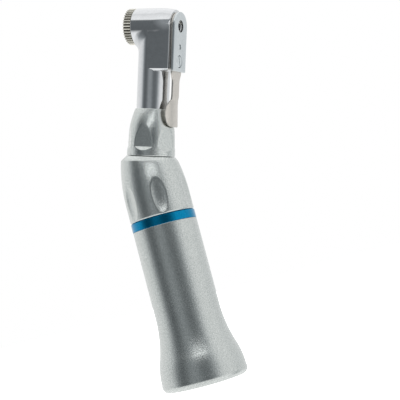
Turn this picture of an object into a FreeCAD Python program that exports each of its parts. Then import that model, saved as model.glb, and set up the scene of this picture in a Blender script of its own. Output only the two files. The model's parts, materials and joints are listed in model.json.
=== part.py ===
"""Latch-type contra-angle dental handpiece with a 1:1 drive train, built piece by piece.

The part's frame has its origin at the centre of the sleeve's rear rim, +Z up the grip's axis towards the
bend, the back of the head towards +X and the bur towards -X. Three frames are used:
  grip  the part's frame itself;
  neck  origin where the grip's and the neck's axes cross, +Z up the neck;
  head  origin where the neck's and the head's axes cross, +Z out of the bur opening, +X up the neck's line.
"""
import FreeCAD, Part
import Sketcher
import math
import os

from FreeCAD import Placement, Rotation, Vector

SIZES = [
    # grip, all heights above the rear rim
    ("grip_r", 8.0, "outer radius of the straight grip"),
    ("bell_r", 10.55, "largest radius of the flared rear end"),
    ("bell_top", 1.9, "height of the bell's largest radius"),
    ("rim_r", 9.75, "outer radius of the flat rear rim"),
    ("rim_round", 1.55, "radius of the rounding between rim and bell"),
    ("flare_top", 17.8, "height where the flare runs out into the grip"),
    ("flare_turn", 7.3, "height where the flare changes from hollow to full"),
    ("flare_turn_r", 9.74, "radius of the flare at that height"),
    ("flare_hollow_arc", 32.6, "radius of the hollow part of the flare"),
    ("flare_full_arc", 18.4, "radius of the full part of the flare"),
    ("recess_r", 8.4, "radius of the recess in the rear end"),
    ("recess_depth", 3.2, "depth of that recess, down to the coupling's flange"),
    ("flange_r", 7.6, "radius of the flange's seat"),
    ("flange_end", 4.2, "height where that seat ends"),
    ("sleeve_bore", 7.05, "bore of the rear sleeve"),
    ("band_low", 39.3, "lower edge of the colour band"),
    ("band_high", 41.35, "upper edge of the colour band"),
    ("band_r", 8.03, "outer radius of the colour band"),
    # coupling
    ("base_bore", 6.2, "radius of the socket for the root of the motor nose"),
    ("base_end", 11.0, "height where that socket ends"),
    ("nose_bore", 4.75, "radius of the socket for the motor nose"),
    ("nose_end", 24.0, "height where that socket ends"),
    ("tube_end", 29.0, "upper end of the coupling tube"),
    ("tube_r", 7.02, "outer radius of the coupling tube"),
    # elbow
    ("barrel_start", 46.0, "height where the elbow starts to narrow"),
    ("barrel_arc", 40.0, "radius of the elbow's barrel curve"),
    ("barrel_top", 60.0, "height to which the barrel is turned"),
    ("barrel_top_r", 5.55, "radius of the barrel there"),
    ("spigot_r", 7.0, "radius of the elbow's spigot inside the sleeve"),
    ("spigot_low", 29.8, "lower end of that spigot"),
    ("shaft_bore", 4.92, "bore of the elbow for the rear shaft's bearings"),
    ("shaft_bore_end", 47.0, "upper end of that bore"),
    ("gear_room", 4.1, "radius of the room for the gears in the bend"),
    ("seat_h", 3.6, "height of the nut's seat above the bend, on the neck's axis"),
    ("seat_r", 5.95, "radius of that seat"),
    ("boss_r", 4.88, "radius of the threaded boss in the union nut"),
    ("boss_top", 8.0, "top of that boss"),
    ("dimple_z", 46.6, "height of the finger dimples' centres"),
    ("bend_z", 53.2, "height of the bend"),
    ("bend_deg", 19.0, "angle of the bend"),
    # neck and union nut, heights on the neck's axis above the bend
    ("nut_low", 3.68, "lower face of the union nut"),
    ("nut_r", 5.9, "largest radius of the union nut"),
    ("nut_turn", 6.0, "height where the nut starts to narrow"),
    ("nut_top", 15.2, "upper face of the union nut"),
    ("nut_top_r", 4.27, "radius of the nut's upper edge"),
    ("nut_arc", 26.8, "radius of the nut's crown"),
    ("nut_flat", 5.42, "distance of the six thumb flats from the axis"),
    ("nut_turned", 6.0, "how far the nut is turned on its thread, in degrees"),
    ("neck_r", 4.0, "outer radius of the neck"),
    ("neck_bore", 3.45, "bore of the neck"),
    ("neck_end", 2.9, "rear end of the neck"),
    ("collar_r", 4.7, "radius of the neck's collar that the nut clamps"),
    ("collar_low", 8.05, "lower face of that collar"),
    ("collar_high", 9.5, "upper face of that collar"),
    ("block_low", 24.4, "lower face of the head's block"),
    ("head_h", 35.3, "height of the head's axis"),
    # head, lengths along the bur axis from the neck's axis
    ("head_r", 4.45, "outer radius of the head"),
    ("head_back_r", 3.95, "outer radius of the head at the latch"),
    ("head_front", 4.8, "front face of the head housing"),
    ("head_back", 5.65, "back face of the head housing"),
    ("block_half", 3.9, "half width of the block under the latch"),
    ("cavity_r", 3.6, "bore of the head around the gears"),
    ("bearing_bore", 3.47, "bearing seats in head and neck"),
    ("cap_front", 6.9, "front face of the ribbed cap ring"),
    ("cap_r", 4.42, "outer radius of the cap ring over its ribs"),
    ("cap_ribs", 38, "ribs on the cap ring"),
    ("bur_bore", 1.18, "bore for a 2.35 mm latch bur"),
    ("spindle_r", 1.85, "outer radius of the spindle"),
    ("plate_thick", 0.62, "thickness of the cover plate"),
    ("plate_half", 3.45, "half width of the cover plate"),
    ("plate_low", 10.95, "distance of the plate's lower edge from the head's axis"),
    ("latch_thick", 0.42, "thickness of the latch's sheet steel"),
    ("latch_gap", 0.06, "clearance on each face of the latch"),
    ("dowel_x", 5.0, "distance of the dowel from the head's axis"),
    ("pivot_x", 8.5, "distance of the latch pivot from the head's axis"),
    ("latch_open", 17.0, "swing that frees the bur, in degrees"),
]

doc = FreeCAD.newDocument("contra_angle")
sheet = doc.addObject("Spreadsheet::Sheet", "sizes")
made = []


class Size:
    """A number together with the expression that says how it follows from the sheet."""

    def __init__(self, value, text):
        self.value = value
        self.text = text

    def joined(self, other, sign, result):
        text = other.text if isinstance(other, Size) else repr(float(other))
        return Size(result, f"({self.text} {sign} {text})")

    def __add__(self, other):
        return self.joined(other, "+", self.value + number(other))

    def __sub__(self, other):
        return self.joined(other, "-", self.value - number(other))

    def __mul__(self, other):
        return self.joined(other, "*", self.value * number(other))

    def __neg__(self):
        return Size(-self.value, f"(0 - {self.text})")


def number(size):
    return size.value if isinstance(size, Size) else float(size)


def write_sheet():
    """Fills the sheet and returns the sizes by name."""
    sizes = {}
    for row, (alias, value, meaning) in enumerate(SIZES, start=1):
        sheet.set(f"A{row}", meaning)
        sheet.set(f"B{row}", str(value))
        sheet.setAlias(f"B{row}", alias)
        sizes[alias] = Size(float(value), f"sizes.{alias}")
    doc.recompute()
    return sizes


D = write_sheet()
BEND = Vector(0, 0, D["bend_z"].value)
GRIP = Placement()
NECK = Placement(BEND, Rotation(Vector(0, 1, 0), D["bend_deg"].value))
HEAD_POINT = NECK.multVec(Vector(0, 0, D["head_h"].value))
HEAD = Placement(HEAD_POINT, Rotation(Vector(0, 1, 0), D["bend_deg"].value - 90))


# ---------------------------------------------------------------- helpers
def plane(body, role):
    return next(f for f in body.Origin.OriginFeatures if f.Role == role)


def new_body(label, frame):
    body = doc.addObject("PartDesign::Body", label)
    body.Label = label
    body.Placement = frame
    made.append(body)
    return body


def fix(sketch, geo, pos, size, along_x):
    """Holds one coordinate of a sketch point at a size of the sheet."""
    if number(size) == 0:
        sketch.addConstraint(Sketcher.Constraint("PointOnObject", geo, pos, -2 if along_x else -1))
        return
    kind = "DistanceX" if along_x else "DistanceY"
    at = sketch.addConstraint(Sketcher.Constraint(kind, -1, 1, geo, pos, number(size)))
    if isinstance(size, Size):
        sketch.setExpression(f"Constraints[{at}]", size.text)


def arc_middle(start, end, radius, bulge):
    """Middle of the arc from start to end; bulge is +1 if it lies left of that direction and -1 if right."""
    chord = end.sub(start)
    half = chord.Length / 2
    side = Vector(-chord.y, chord.x, 0).normalize()
    rise = radius - math.sqrt(radius * radius - half * half)
    return start.add(end).multiply(0.5).add(side.multiply(rise * bulge))


def outline(body, name, corners, role="XZ_Plane", offset=None):
    """A closed sketch. Each corner is (x, y), or (x, y, radius, bulge) where an arc leads on to the next corner."""
    sketch = body.newObject("Sketcher::SketchObject", name)
    sketch.AttachmentSupport = [(plane(body, role), "")]
    sketch.MapMode = "FlatFace"
    if offset is not None:
        sketch.AttachmentOffset = offset
    points = [Vector(number(c[0]), number(c[1]), 0) for c in corners]
    ends = []
    for i, corner in enumerate(corners):
        a, b = points[i], points[(i + 1) % len(points)]
        if len(corner) == 2:
            geo = sketch.addGeometry(Part.LineSegment(a, b), False)
            ends.append((geo, 1, 2))
            continue
        middle = arc_middle(a, b, number(corner[2]), corner[3])
        geo = sketch.addGeometry(Part.Arc(a, middle, b), False)
        turns_left = b.sub(a).cross(middle.sub(a)).z < 0
        ends.append((geo, 1, 2) if turns_left else (geo, 2, 1))
    for i, corner in enumerate(corners):
        geo, start, _ = ends[i]
        before, _, last = ends[i - 1]
        sketch.addConstraint(Sketcher.Constraint("Coincident", before, last, geo, start))
        fix(sketch, geo, start, corner[0], True)
        fix(sketch, geo, start, corner[1], False)
        if len(corner) == 4:
            at = sketch.addConstraint(Sketcher.Constraint("Radius", geo, number(corner[2])))
            if isinstance(corner[2], Size):
                sketch.setExpression(f"Constraints[{at}]", corner[2].text)
    return sketch


def turn(body, name, corners, cut=False, axis="V_Axis", offset=None):
    """Revolves an outline drawn in the body's XZ plane, to add or to cut."""
    sketch = outline(body, name + "_outline", corners, offset=offset)
    kind = "PartDesign::Groove" if cut else "PartDesign::Revolution"
    feature = body.newObject(kind, name)
    feature.Profile = sketch
    feature.ReferenceAxis = (sketch, [axis])
    feature.Angle = 360
    if cut:
        doc.recompute()
    return feature


def turned(label, frame, corners):
    """A piece that is one turned profile of (radius, height) corners."""
    body = new_body(label, frame)
    turn(body, "turned", corners)
    return body


def ring(label, frame, inner, outer, low, high):
    return turned(label, frame, [(inner, low), (outer, low), (outer, high), (inner, high)])


def slab(body, name, corners, low, high, cut=False):
    """Pads or pockets an outline drawn in the body's XY plane between two heights."""
    lift = Placement(Vector(0, 0, number(low)), Rotation())
    sketch = outline(body, name + "_outline", corners, "XY_Plane", lift)
    if isinstance(low, Size):
        sketch.setExpression("AttachmentOffset.Base.z", low.text)
    feature = body.newObject("PartDesign::Pocket" if cut else "PartDesign::Pad", name)
    feature.Profile = sketch
    feature.Length = number(high) - number(low)
    if cut:
        feature.Reversed = True
        doc.recompute()
    return feature


def disc_cut(body, name, x, radius, low, high):
    """Drills a round hole along the body's Z axis, centred at x."""
    cylinder = body.newObject("PartDesign::SubtractiveCylinder", name)
    cylinder.Radius = number(radius)
    cylinder.Height = number(high) - number(low)
    if isinstance(radius, Size):
        cylinder.setExpression("Radius", radius.text)
    cylinder.AttachmentSupport = [(plane(body, "XY_Plane"), "")]
    cylinder.MapMode = "FlatFace"
    cylinder.AttachmentOffset = Placement(Vector(number(x), 0, number(low)), Rotation())
    if isinstance(x, Size):
        cylinder.setExpression("AttachmentOffset.Base.x", x.text)
    doc.recompute()
    return cylinder


def around(body, features, count):
    """Repeats cuts or pads evenly round the body's Z axis."""
    pattern = body.newObject("PartDesign::PolarPattern", features[0].Name + "_round")
    pattern.Originals = features
    pattern.Axis = (plane(body, "Z_Axis"), [""])
    pattern.Angle = 360
    pattern.Occurrences = int(count)
    body.Tip = pattern
    doc.recompute()
    return pattern


def plain(label, shape, frame):
    """A piece whose shape comes from Part's own functions, such as a bevel gear or a set of balls."""
    feature = doc.addObject("Part::Feature", label)
    feature.Label = label
    feature.Shape = shape
    feature.Placement = frame
    made.append(feature)
    return feature


# ---------------------------------------------------------------- ball bearings
def ball_bearing(label, frame, low, width, bore, outside, balls, ball_r):
    """Inner race, outer race and the caged balls of a radial bearing."""
    clear = 0.03
    middle = (bore + outside) / 2
    inner_top = middle - 0.62 * ball_r
    outer_low = middle + 0.62 * ball_r
    centre = low + width / 2
    high = low + width

    def race(suffix, corners):
        body = turned(f"{label}_{suffix}", frame, corners)
        groove = body.newObject("PartDesign::SubtractiveTorus", "ball_track")
        groove.Radius1 = middle
        groove.Radius2 = ball_r + clear
        groove.AttachmentSupport = [(plane(body, "XY_Plane"), "")]
        groove.MapMode = "FlatFace"
        groove.AttachmentOffset = Placement(Vector(0, 0, centre), Rotation())
        doc.recompute()

    race("inner_race", [(bore, low), (inner_top, low), (inner_top, high), (bore, high)])
    race("outer_race", [(outer_low, low), (outside, low), (outside, high), (outer_low, high)])
    cage_half = 0.55 * ball_r
    wall = 0.3 * ball_r
    blank = Part.makeCylinder(middle + wall, 2 * cage_half, Vector(0, 0, centre - cage_half))
    blank = blank.cut(Part.makeCylinder(middle - wall, 2 * cage_half, Vector(0, 0, centre - cage_half)))
    solids = []
    for i in range(balls):
        angle = 2 * math.pi * i / balls
        at = Vector(middle * math.cos(angle), middle * math.sin(angle), centre)
        blank = blank.cut(Part.makeSphere(ball_r + clear, at))
        solids.append(Part.makeSphere(ball_r, at))
    plain(f"{label}_balls", Part.makeCompound(blank.Solids + solids), frame)


# ---------------------------------------------------------------- bevel gears
def involute(angle):
    return math.tan(angle) - angle


def space_section(teeth, pitch_r, cone, above, below, play):
    """Half of a tooth space, as (height, half width) on the back cone, from the root up."""
    pressure = math.radians(20)
    flat_r = pitch_r / math.cos(cone)
    flat_teeth = teeth / math.cos(cone)
    base_r = flat_r * math.cos(pressure)
    steps = 5
    section = []
    for i in range(steps + 1):
        height = -below + (above + below) * i / steps
        rho = flat_r + height
        lean = math.acos(min(1.0, base_r / rho))
        tooth = math.pi / (2 * flat_teeth) + involute(pressure) - involute(lean) - play / (4 * flat_r)
        section.append((height, rho * math.sin(math.pi / flat_teeth - tooth)))
    return section


def bevel_gear(teeth, pitch_r, cone_deg, face_share, above, below, play, hub, tooth_at_x):
    """A straight bevel gear with its cones' apex at the origin and its hub on +Z.

    hub is the list of (radius, height) corners of the hub, from the outer root round to the inner root."""
    cone = math.radians(cone_deg)
    reach = pitch_r / math.sin(cone)
    along = Vector(math.sin(cone), 0, math.cos(cone))
    out = Vector(math.cos(cone), 0, -math.sin(cone))

    def at(share, height):
        return along * (reach * share) + out * (height * share)

    blank = [at(1, above), at(1, -below)]
    blank += [Vector(r, 0, z) for r, z in hub]
    blank += [at(face_share, -below), at(face_share, above)]
    solid = Part.Face(Part.makePolygon(blank + blank[:1])).revolve(Vector(), Vector(0, 0, 1), 360)
    section = space_section(teeth, pitch_r, cone, above * 1.6, below, play)
    wires = []
    for share in (0.3, 1.3):
        left = [at(share, h) + Vector(0, w * share, 0) for h, w in section]
        right = [at(share, h) - Vector(0, w * share, 0) for h, w in reversed(section)]
        wires.append(Part.makePolygon(left + right + left[:1]))
    space = Part.makeLoft(wires, True, True)
    spaces = []
    for i in range(teeth):
        turn_by = 360.0 * (i + (0.5 if tooth_at_x else 0)) / teeth
        one = space.copy()
        one.rotate(Vector(), Vector(0, 0, 1), turn_by)
        spaces.append(one)
    return solid.cut(Part.makeCompound(spaces))


# ---------------------------------------------------------------- grip and coupling
def make_rear_sleeve():
    body = new_body("rear_sleeve", GRIP)
    turn(body, "shell", [
        (D["recess_r"], 0),
        (D["rim_r"], 0, D["rim_round"], -1),
        (D["bell_r"], D["bell_top"], D["flare_full_arc"], -1),
        (D["flare_turn_r"], D["flare_turn"], D["flare_hollow_arc"], 1),
        (D["grip_r"], D["flare_top"]),
        (D["grip_r"], D["band_low"] - 0.02),
        (D["sleeve_bore"], D["band_low"] - 0.02),
        (D["sleeve_bore"], D["flange_end"]),
        (D["flange_r"], D["flange_end"]),
        (D["flange_r"], D["recess_depth"]),
        (D["recess_r"], D["recess_depth"]),
    ])


def make_coupling():
    """The tube that takes the motor's nose, with its flange and snap ring."""
    body = new_body("coupling_tube", GRIP)
    turn(body, "tube", [
        (D["base_bore"], D["recess_depth"]),
        (D["flange_r"] - 0.02, D["recess_depth"]),
        (D["flange_r"] - 0.02, D["flange_end"] - 0.02),
        (D["tube_r"], D["flange_end"] - 0.02),
        (D["tube_r"], D["tube_end"]),
        (4.2, D["tube_end"]),
        (4.2, D["nose_end"]),
        (D["nose_bore"], D["nose_end"]),
        (D["nose_bore"], D["base_end"]),
        (D["base_bore"], D["base_end"]),
    ])
    turn(body, "snap_groove", [(4.5, 19.0), (5.32, 19.0), (5.32, 19.6), (4.5, 19.6)], cut=True)
    snap = doc.addObject("Part::Torus", "coupling_snap_ring")
    snap.Label = "coupling_snap_ring"
    snap.Radius1 = 5.04
    snap.Radius2 = 0.24
    snap.Angle3 = 320
    snap.Placement = Placement(Vector(0, 0, 19.3), Rotation())
    made.append(snap)


def make_elbow():
    body = new_body("elbow_housing", GRIP)
    neck_plane = Placement(Vector(0, D["bend_z"].value, 0), Rotation(Vector(0, 0, 1), -D["bend_deg"].value))
    turn(body, "barrel", [
        (0, D["spigot_low"]),
        (D["spigot_r"], D["spigot_low"]),
        (D["spigot_r"], D["band_high"]),
        (D["grip_r"], D["band_high"]),
        (D["grip_r"], D["barrel_start"], D["barrel_arc"], -1),
        (D["barrel_top_r"], D["barrel_top"]),
        (0, D["barrel_top"]),
    ])
    slope_reach = 6.0
    turn(body, "nut_seat", [
        (0, D["seat_h"]),
        (D["seat_r"], D["seat_h"]),
        (D["seat_r"] + slope_reach, D["seat_h"] - slope_reach),
        (D["seat_r"] + slope_reach, D["seat_h"] + 10),
        (0, D["seat_h"] + 10),
    ], cut=True, offset=neck_plane)
    turn(body, "boss", [
        (0, D["seat_h"] - 1),
        (D["boss_r"], D["seat_h"] - 1),
        (D["boss_r"], D["boss_top"]),
        (0, D["boss_top"]),
    ], offset=neck_plane)
    turn(body, "neck_socket", [
        (0, -0.6),
        (D["gear_room"], -0.6),
        (D["gear_room"], D["boss_top"] + 1),
        (0, D["boss_top"] + 1),
    ], cut=True, offset=neck_plane)
    turn(body, "shaft_bore_cut", [
        (0, D["spigot_low"] - 1),
        (D["shaft_bore"], D["spigot_low"] - 1),
        (D["shaft_bore"], D["shaft_bore_end"]),
        (D["gear_room"], D["shaft_bore_end"]),
        (D["gear_room"], D["bend_z"] + 0.6),
        (0, D["bend_z"] + 0.6),
    ], cut=True)
    turn(body, "seal_groove", [(6.45, 36.0), (7.3, 36.0), (7.3, 37.0), (6.45, 37.0)], cut=True)
    dimple = body.newObject("PartDesign::SubtractiveEllipsoid", "finger_dimple")
    dimple.Radius1 = 5.73
    dimple.Radius2 = 1.1
    dimple.Radius3 = 2.55
    dimple.AttachmentSupport = [(plane(body, "XY_Plane"), "")]
    dimple.MapMode = "FlatFace"
    dimple.AttachmentOffset = Placement(Vector(8.6, 0, D["dimple_z"].value), Rotation())
    dimple.setExpression("AttachmentOffset.Base.z", D["dimple_z"].text)
    doc.recompute()
    around(body, [dimple], 6)
    ring("colour_band", GRIP, D["spigot_r"] + 0.02, D["band_r"], D["band_low"], D["band_high"] - 0.02)
    seal = doc.addObject("Part::Torus", "sleeve_seal")
    seal.Label = "sleeve_seal"
    seal.Radius1 = 6.75
    seal.Radius2 = 0.28
    seal.Placement = Placement(Vector(0, 0, 36.5), Rotation())
    made.append(seal)


def make_rear_shaft():
    """The shaft in the grip, with its dog clutch, bearings, spacer and lock ring."""
    shaft_r = 2.0
    step_r = 1.5
    turned("rear_drive_shaft", GRIP, [
        (0, 26.4), (step_r, 26.4), (step_r, 28.6), (shaft_r, 28.6), (shaft_r, 46.6),
        (step_r, 46.6), (step_r, 51.4), (0, 51.4),
    ])
    clutch = new_body("dog_clutch", GRIP)
    turn(clutch, "hub", [
        (0, 24.5), (3.2, 24.5), (3.2, 28.55), (step_r + 0.01, 28.55), (step_r + 0.01, 26.35), (0, 26.35),
    ])
    jaw = 0.85
    slab(clutch, "jaw_slot", [(-4, -jaw), (4, -jaw), (4, jaw), (-4, jaw)], 24.4, 26.2, cut=True)
    for label, low in (("rear_bearing", 31.2), ("middle_bearing", 44.2)):
        ball_bearing(label, GRIP, low, 2.4, shaft_r + 0.01, 4.9, 8, 0.78)
    ring("bearing_spacer", GRIP, 4.3, 4.9, 33.62, 44.18)
    lock = new_body("rear_lock_ring", GRIP)
    turn(lock, "turned", [(3.5, 29.85), (4.9, 29.85), (4.9, 31.15), (3.5, 31.15)])
    slab(lock, "key_slot", [(-6, -0.4), (6, -0.4), (6, 0.4), (-6, 0.4)], 29.8, 30.4, cut=True)


def make_bend_gears():
    """Two equal bevel gears that face each other across the bend and mesh on its inner side."""
    teeth = 14
    pitch_r = 3.4
    cone = (180 - D["bend_deg"].value) / 2
    hub = [(2.9, 1.75), (2.9, 2.15), (1.52, 2.15), (1.52, 0.55), (1.75, 0.55)]
    shape = (teeth, pitch_r, cone, 0.58, 0.36, 0.44, 0.09)
    upside = Placement(BEND, Rotation(Vector(1, 0, 0), 180))
    plain("rear_shaft_gear", bevel_gear(*shape, hub, True), upside)
    front_hub = [(2.9, 1.75), (2.9, 2.15), (1.27, 2.15), (1.27, 0.55), (1.75, 0.55)]
    plain("front_shaft_gear", bevel_gear(*shape, front_hub, False), NECK)


# ---------------------------------------------------------------- neck
def make_union_nut():
    turned = Rotation(Vector(0, 0, 1), D["nut_turned"].value)
    body = new_body("union_nut", NECK.multiply(Placement(Vector(), turned)))
    turn(body, "shell", [
        (D["boss_r"] + 0.07, D["nut_low"]),
        (D["nut_r"] - 0.15, D["nut_low"]),
        (D["nut_r"], D["nut_low"] + 0.2),
        (D["nut_r"], D["nut_turn"], D["nut_arc"], -1),
        (D["nut_top_r"], D["nut_top"]),
        (D["neck_r"] + 0.04, D["nut_top"]),
        (D["neck_r"] + 0.04, D["collar_high"] + 0.6),
        (D["collar_r"] + 0.05, D["collar_high"] + 0.03),
        (D["boss_r"] + 0.07, D["collar_high"] - 0.4),
    ])
    flat_end = 5.0
    cutter = outline(body, "thumb_flat_outline", [
        (D["nut_r"] + 0.25, flat_end - 0.1, 1.6, -1),
        (D["nut_flat"], flat_end + 1.0),
        (D["nut_flat"], 14),
        (D["nut_r"] + 2, 14),
        (D["nut_r"] + 2, flat_end - 0.1),
    ], "YZ_Plane")
    flat = body.newObject("PartDesign::Pocket", "thumb_flat")
    flat.Profile = cutter
    flat.Length = 7
    flat.Midplane = True
    doc.recompute()
    around(body, [flat], 6)


def make_head_housing():
    """Head, block and neck, one machined piece."""
    body = new_body("head_housing", NECK)
    head_axis = Placement(Vector(0, D["head_h"].value, 0), Rotation())
    turn(body, "neck", [
        (0, D["neck_end"]),
        (D["neck_r"] - 0.03, D["neck_end"]),
        (D["neck_r"] - 0.03, D["collar_low"]),
        (D["collar_r"], D["collar_low"]),
        (D["collar_r"], D["collar_high"]),
        (D["neck_r"], D["collar_high"]),
        (D["neck_r"], D["block_low"] + 4),
        (0, D["block_low"] + 4),
    ])
    half = D["block_half"]
    slab(body, "block", [
        (0, -half),
        (D["head_back"], -half),
        (D["head_back"], half),
        (0, half, half, -1),
        (-half, 0, half, -1),
    ], D["block_low"], D["head_h"])
    turn(body, "head", [
        (-D["head_front"], 0),
        (-D["head_front"], D["head_r"]),
        (1.0, D["head_r"], 20.0, 1),
        (D["head_back"], D["head_back_r"]),
        (D["head_back"], 0),
    ], axis="H_Axis", offset=head_axis)
    turn(body, "head_bore", [
        (-D["head_front"] - 1, 0),
        (-D["head_front"] - 1, 3.95),
        (-3.4, 3.95),
        (-3.4, D["cavity_r"]),
        (3.4, D["cavity_r"]),
        (3.4, D["bearing_bore"]),
        (5.1, D["bearing_bore"]),
        (5.1, 2.1),
        (D["head_back"] + 1, 2.1),
        (D["head_back"] + 1, 0),
    ], cut=True, axis="H_Axis", offset=head_axis)
    turn(body, "neck_bore_cut", [
        (0, D["neck_end"] - 1),
        (D["neck_bore"] + 0.02, D["neck_end"] - 1),
        (D["neck_bore"] + 0.02, D["head_h"] - 1),
        (0, D["head_h"] - 1),
    ], cut=True)
    for name, x, radius, depth in (("pivot", D["pivot_x"], 0.77, 1.9), ("dowel", D["dowel_x"], 0.52, 1.6)):
        drill = body.newObject("PartDesign::SubtractiveCylinder", name + "_hole")
        drill.Radius = radius
        drill.Height = depth + 1
        drill.AttachmentSupport = [(plane(body, "YZ_Plane"), "")]
        drill.MapMode = "FlatFace"
        height = D["head_h"] - x
        drill.AttachmentOffset = Placement(Vector(0, height.value, D["head_back"].value - depth), Rotation())
        drill.setExpression("AttachmentOffset.Base.y", height.text)
        doc.recompute()


def make_front_shaft():
    """The shaft in the neck, its bearing and bush, and what holds them."""
    shaft_r = 1.25
    turned("front_drive_shaft", NECK, [
        (0, 0.7), (shaft_r, 0.7), (shaft_r, 33.0), (0, 33.0),
    ])
    ball_bearing("neck_bearing", NECK, 4.1, 1.9, shaft_r + 0.01, 3.44, 7, 0.55)
    turned("front_bush", NECK, [
        (shaft_r + 0.03, 26.2), (3.44, 26.2), (3.44, 29.6), (2.3, 29.6), (2.3, 30.0), (shaft_r + 0.03, 30.0),
    ])
    ring("neck_spacer_tube", NECK, 2.95, 3.44, 6.02, 26.18)
    ring("thrust_washer", NECK, shaft_r + 0.03, 2.2, 30.03, 30.25)
    lock = new_body("neck_lock_ring", NECK)
    turn(lock, "turned", [(2.3, 2.95), (3.42, 2.95), (3.42, 4.05), (2.3, 4.05)])
    slab(lock, "key_slot", [(-5, -0.3), (5, -0.3), (5, 0.3), (-5, 0.3)], 2.9, 3.4, cut=True)


# ---------------------------------------------------------------- head
def make_head_gears():
    """Mitre gears: the pinion on the neck's shaft and the gear on the spindle."""
    teeth = 12
    pitch_r = 3.0
    shape = (teeth, pitch_r, 45, 0.78, 0.34, 0.42, 0.1)
    down = NECK.Rotation.multVec(Vector(0, 0, -1))
    back = NECK.Rotation.multVec(Vector(1, 0, 0))
    pinion_turn = Rotation(back, down.cross(back), down, "ZXY")
    gear_turn = Rotation(down, back.cross(down), back, "ZXY")
    pinion_hub = [(2.5, 3.5), (2.2, 5.0), (1.26, 5.0), (1.26, 2.32), (1.9, 2.32)]
    plain("head_pinion", bevel_gear(*shape, pinion_hub, True), Placement(HEAD_POINT, pinion_turn))
    r = D["spindle_r"].value
    gear_hub = [(2.7, 3.35), (r + 0.45, 3.45), (r + 0.01, 3.45), (r + 0.01, 2.3)]
    plain("spindle_gear", bevel_gear(*shape, gear_hub, False), Placement(HEAD_POINT, gear_turn))


def make_spindle():
    """The tube that holds the bur: a round bore in front, a D-shaped socket at the back that drives the bur."""
    body = new_body("bur_spindle", HEAD)
    nose_r = 2.05
    turn(body, "tube", [
        (0, -5.5),
        (D["spindle_r"], -5.5),
        (D["spindle_r"], D["cap_front"] - 1.35),
        (nose_r, D["cap_front"] - 1.35),
        (nose_r, D["cap_front"] - 0.25),
        (nose_r - 0.2, D["cap_front"] - 0.05),
        (0, D["cap_front"] - 0.05),
    ])
    turn(body, "bur_bore_cut", [
        (0, -3.0), (D["bur_bore"], -3.0), (D["bur_bore"], 6.6), (D["bur_bore"] + 0.3, 7.0), (0, 7.0),
    ], cut=True)
    flat = 0.6
    r = D["bur_bore"] + 0.32
    side = math.sqrt(r.value ** 2 - flat ** 2)
    slab(body, "drive_socket", [
        (flat, side, r, -1),
        (-r, 0, r, -1),
        (flat, -side),
    ], -5.6, -2.9, cut=True)
    ball_bearing("front_bearing", HEAD, 3.6, 1.6, D["spindle_r"].value + 0.01, 3.44, 9, 0.42)
    ball_bearing("back_bearing", HEAD, -5.0, 1.5, D["spindle_r"].value + 0.01, 3.44, 9, 0.42)
    ring("preload_washer", HEAD, 2.9, 3.42, -5.09, -5.02)
    ring("dust_shield", HEAD, 2.15, 3.4, 5.24, 5.4)


def make_cap_ring():
    """The ribbed ring screwed into the front of the head."""
    body = new_body("cap_ring", HEAD)
    root_r = D["cap_r"] - 0.24
    turn(body, "ring", [
        (3.47, 3.45),
        (3.92, 3.45),
        (3.92, D["head_front"] + 0.03),
        (D["cap_r"], D["head_front"] + 0.03),
        (D["cap_r"], D["cap_front"] - 0.2),
        (D["cap_r"] - 0.2, D["cap_front"]),
        (3.0, D["cap_front"]),
        (2.35, D["cap_front"] - 0.5),
        (2.35, 5.45),
        (3.47, 5.45),
    ])
    half = 0.2
    rib_gap = slab(body, "rib_gap", [
        (root_r, 0),
        (D["cap_r"] + 0.1, -half),
        (D["cap_r"] + 0.1, half),
    ], D["head_front"] - 0.1, D["cap_front"] + 0.2, cut=True)
    around(body, [rib_gap], D["cap_ribs"].value)


def make_latch():
    """Cover plate, swinging latch plate, its pivot screw, dowel and washer. Drawn looking along the bur axis."""
    face = -D["head_back"]
    latch_high = face - D["latch_gap"]
    latch_low = latch_high - D["latch_thick"]
    plate_high = latch_low - D["latch_gap"]
    plate_low = plate_high - D["plate_thick"]
    half = D["plate_half"]
    cover = new_body("cover_plate", HEAD)
    slab(cover, "plate", [
        (-D["plate_low"], -half),
        (0, -half, half, -1),
        (half, 0, half, -1),
        (0, half),
        (-D["plate_low"], half),
    ], plate_low, plate_high)
    disc_cut(cover, "bur_end_hole", 0, 1.45, plate_low - 1, plate_high + 1)
    disc_cut(cover, "dowel_hole", -D["dowel_x"], 0.62, plate_low - 1, plate_high + 1)
    disc_cut(cover, "screw_hole", -D["pivot_x"], 0.98, plate_low - 1, plate_high + 1)
    disc_cut(cover, "screw_sink", -D["pivot_x"], 1.5, plate_low - 1, plate_low + 0.38)

    screw = new_body("pivot_screw", HEAD)
    screw.Placement = HEAD.multiply(Placement(Vector(-D["pivot_x"].value, 0, 0), Rotation()))
    turn(screw, "turned", [
        (0, plate_low + 0.02),
        (1.3, plate_low + 0.02),
        (1.42, plate_low + 0.12),
        (1.42, plate_low + 0.36),
        (0.95, plate_low + 0.36),
        (0.95, face - 0.01),
        (0.75, face - 0.01),
        (0.75, face + 1.85),
        (0, face + 1.85),
    ])
    slab(screw, "driver_slot", [(-2, -0.2), (2, -0.2), (2, 0.2), (-2, 0.2)],
         plate_low - 0.5, plate_low + 0.24, cut=True)

    pin = new_body("plate_dowel", HEAD)
    pin.Placement = HEAD.multiply(Placement(Vector(-D["dowel_x"].value, 0, 0), Rotation()))
    turn(pin, "turned", [(0, plate_low + 0.25), (0.5, plate_low + 0.25), (0.5, face + 1.55), (0, face + 1.55)])

    make_latch_plate(latch_low, latch_high)
    make_latch_lever(latch_low, latch_high)


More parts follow.
